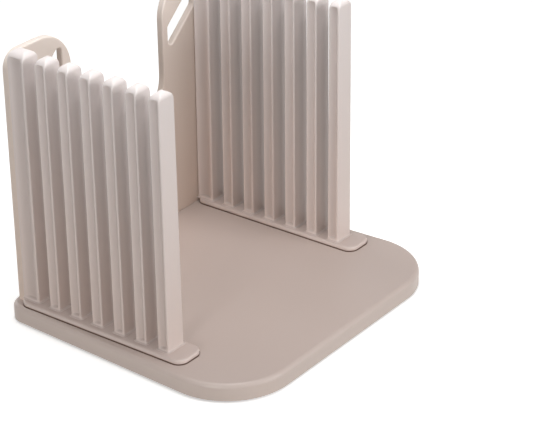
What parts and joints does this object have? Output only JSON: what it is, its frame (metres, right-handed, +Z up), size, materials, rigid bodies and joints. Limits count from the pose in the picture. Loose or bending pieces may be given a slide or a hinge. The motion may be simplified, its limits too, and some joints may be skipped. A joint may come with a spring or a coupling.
{
  "type": "bread slicer guide",
  "caption": "Plug-together bread slicer guide: a base board with comb fences either side and a back plate, whose gaps steer a knife.",
  "frame": {"origin": "on the surface the pads stand on, under the middle of the base board", "axes": "+X towards the right-hand fence, +Y towards the back plate, +Z up"},
  "size_m": [0.1634, 0.145, 0.1375],
  "materials": {
    "moulded_plastic": "satin moulded",
    "pad_rubber": "matte"
  },
  "bodies": {
    "base": {"base": "moulded_plastic", "front_left_pad": "pad_rubber", "front_right_pad": "pad_rubber", "rear_left_pad": "pad_rubber", "rear_right_pad": "pad_rubber"},
    "left_fence": {"left_fence": "moulded_plastic"},
    "right_fence": {"right_fence": "moulded_plastic"},
    "back_plate": {"back_plate": "moulded_plastic"}
  },
  "joints": [
    {"name": "left_fence_lift", "type": "slide", "parent": "base", "child": "left_fence", "axis": [0, 0, 1], "range_m": [0, 0.15]},
    {"name": "right_fence_lift", "type": "slide", "parent": "base", "child": "right_fence", "axis": [0, 0, 1], "range_m": [0, 0.15]},
    {"name": "back_plate_lift", "type": "slide", "parent": "base", "child": "back_plate", "axis": [0, 0, 1], "range_m": [0, 0.15]}
  ]
}
